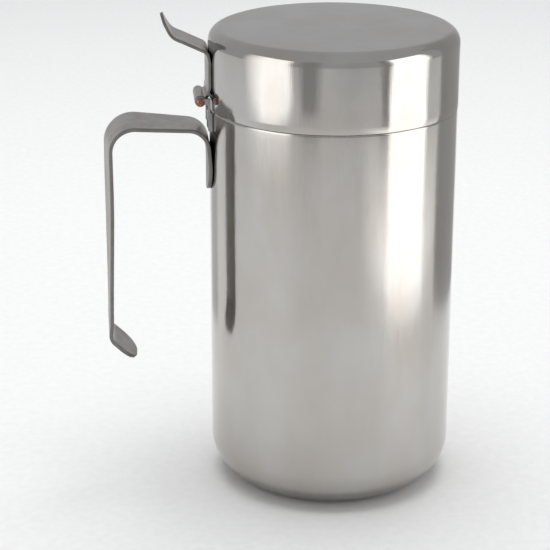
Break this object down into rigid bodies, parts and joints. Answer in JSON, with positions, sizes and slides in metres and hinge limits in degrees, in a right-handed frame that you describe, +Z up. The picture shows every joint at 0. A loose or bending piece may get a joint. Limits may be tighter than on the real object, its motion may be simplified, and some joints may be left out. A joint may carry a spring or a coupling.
{
  "type": "urine bottle",
  "caption": "Cylindrical stainless steel urine bottle with a hinged cap lid, a thumb lever and an open strip handle.",
  "frame": {"origin": "centre of the flat base, on the bottle's axis", "axes": "+Z up along the bottle's axis, handle and lid hinge towards -X, hinge pin along Y"},
  "size_m": [0.1433, 0.1008, 0.1978],
  "materials": {
    "vessel_steel": "bright satin polish",
    "lid_steel": "satin top, mirror-polished skirt",
    "handle_steel": "satin",
    "lever_steel": "satin",
    "bracket_steel": "satin",
    "rivet_copper": "dull copper"
  },
  "bodies": {
    "bottle": {"vessel": "vessel_steel", "hinge_bracket": "bracket_steel", "hinge_pin": "rivet_copper", "handle": "handle_steel"},
    "cover": {"lid": "lid_steel", "thumb_lever": "lever_steel"}
  },
  "joints": [
    {"name": "lid_hinge", "type": "hinge", "parent": "bottle", "child": "cover", "pos_m": [-0.054, 0, 0.1634], "axis": [0, -1, 0], "range_deg": [0, 82]}
  ]
}
